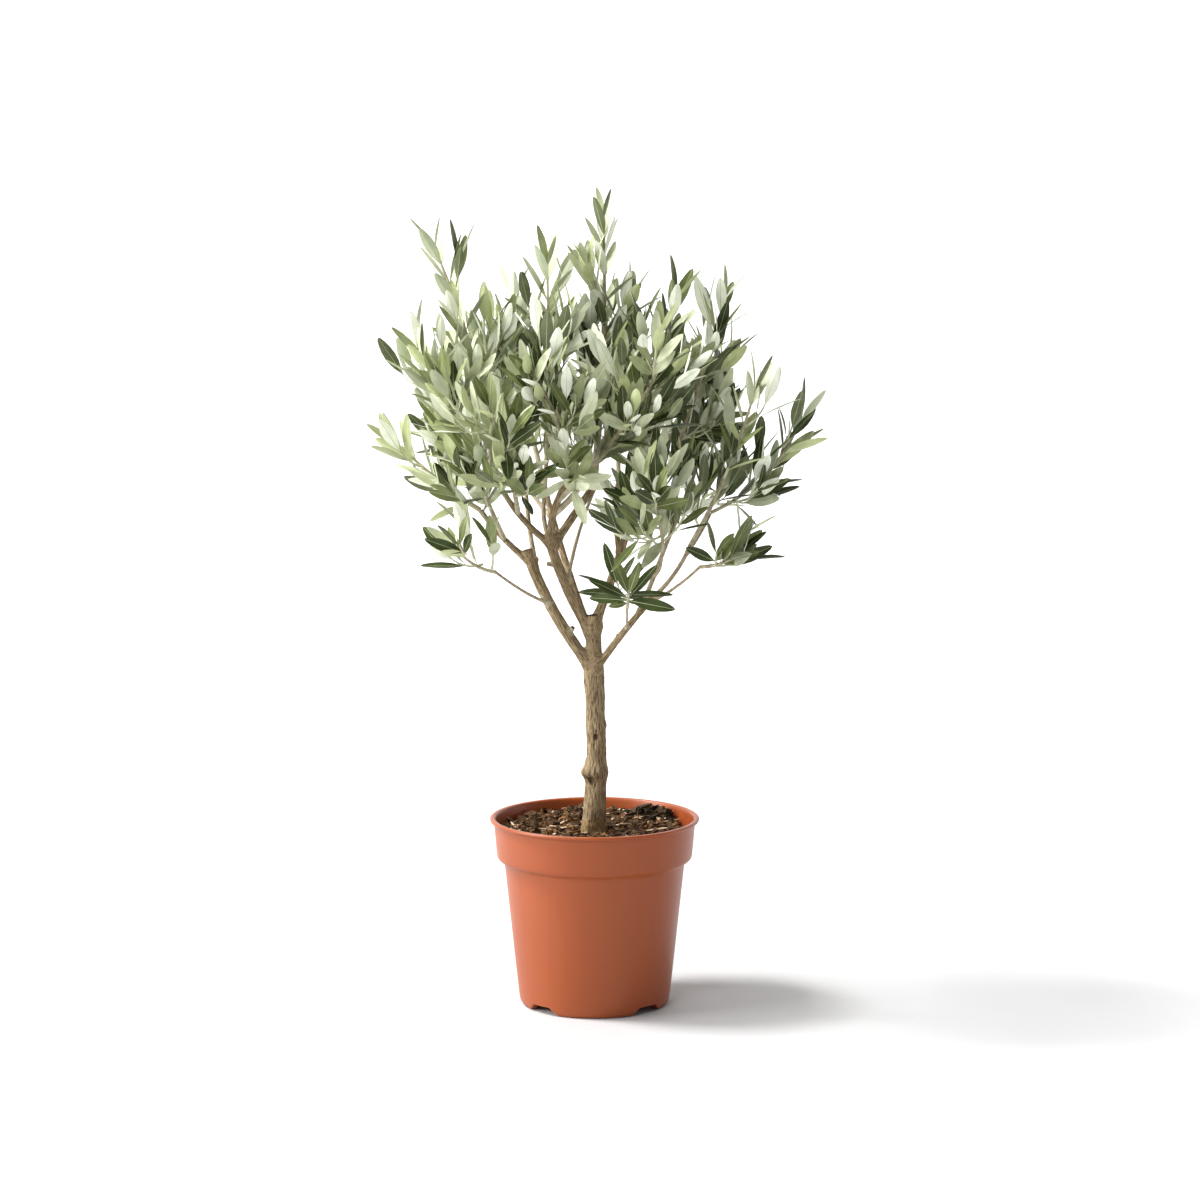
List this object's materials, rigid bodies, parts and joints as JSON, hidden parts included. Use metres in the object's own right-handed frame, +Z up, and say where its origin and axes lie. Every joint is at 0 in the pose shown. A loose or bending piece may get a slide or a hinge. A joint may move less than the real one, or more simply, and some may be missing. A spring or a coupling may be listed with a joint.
{
  "type": "potted olive tree",
  "caption": "Young olive tree with a bare knotty trunk, forked boughs and an open crown of narrow grey-green leaves, standing in a round terracotta-coloured plastic nursery pot.",
  "frame": {"origin": "on the floor, under the middle of the whole plant's bounding box, which is within 4 mm of the middle of the pot", "axes": "+Z up along the trunk, -Y towards the front, +X to the viewer's right"},
  "size_m": [0.412, 0.3516, 0.7449],
  "materials": {
    "pot": "satin",
    "soil": "rough",
    "bark": "rough",
    "leaves": "satin"
  },
  "bodies": {
    "root": {"pot": "pot", "soil": "soil", "trunk": "bark", "left_bough": "bark", "left_outer_arm": "bark", "left_inner_arm": "bark", "left_low_twig": "bark", "middle_bough": "bark", "left_arm": "bark", "front_arm": "bark", "upper_arm": "bark", "inner_arm": "bark", "slender_arm": "bark", "back_bough": "bark", "back_right_arm": "bark", "rear_arm": "bark", "rear_left_bough": "bark", "rear_low_arm": "bark", "right_bough": "bark", "right_inner_arm": "bark", "right_outer_arm": "bark", "right_low_twig": "bark", "right_far_arm": "bark", "front_low_twig": "bark", "whorl_twig": "bark", "far_left_leaves": "leaves", "low_left_leaves": "leaves", "left_leaves": "leaves", "left_inner_leaves": "leaves", "tall_left_leaves": "leaves", "upper_left_leaves": "leaves", "upper_leaves": "leaves", "top_leaves": "leaves", "front_left_leaves": "leaves", "front_leaves": "leaves", "front_right_leaves": "leaves", "centre_leaves": "leaves", "inner_leaves": "leaves", "upper_right_leaves": "leaves", "tall_right_leaves": "leaves", "rear_leaves": "leaves", "rear_right_leaves": "leaves", "rear_left_leaves": "leaves", "rear_low_leaves": "leaves", "right_inner_leaves": "leaves", "right_leaves": "leaves", "far_right_leaves": "leaves", "low_right_leaves": "leaves", "front_low_leaves": "leaves", "whorl_leaves": "leaves"}
  },
  "joints": []
}
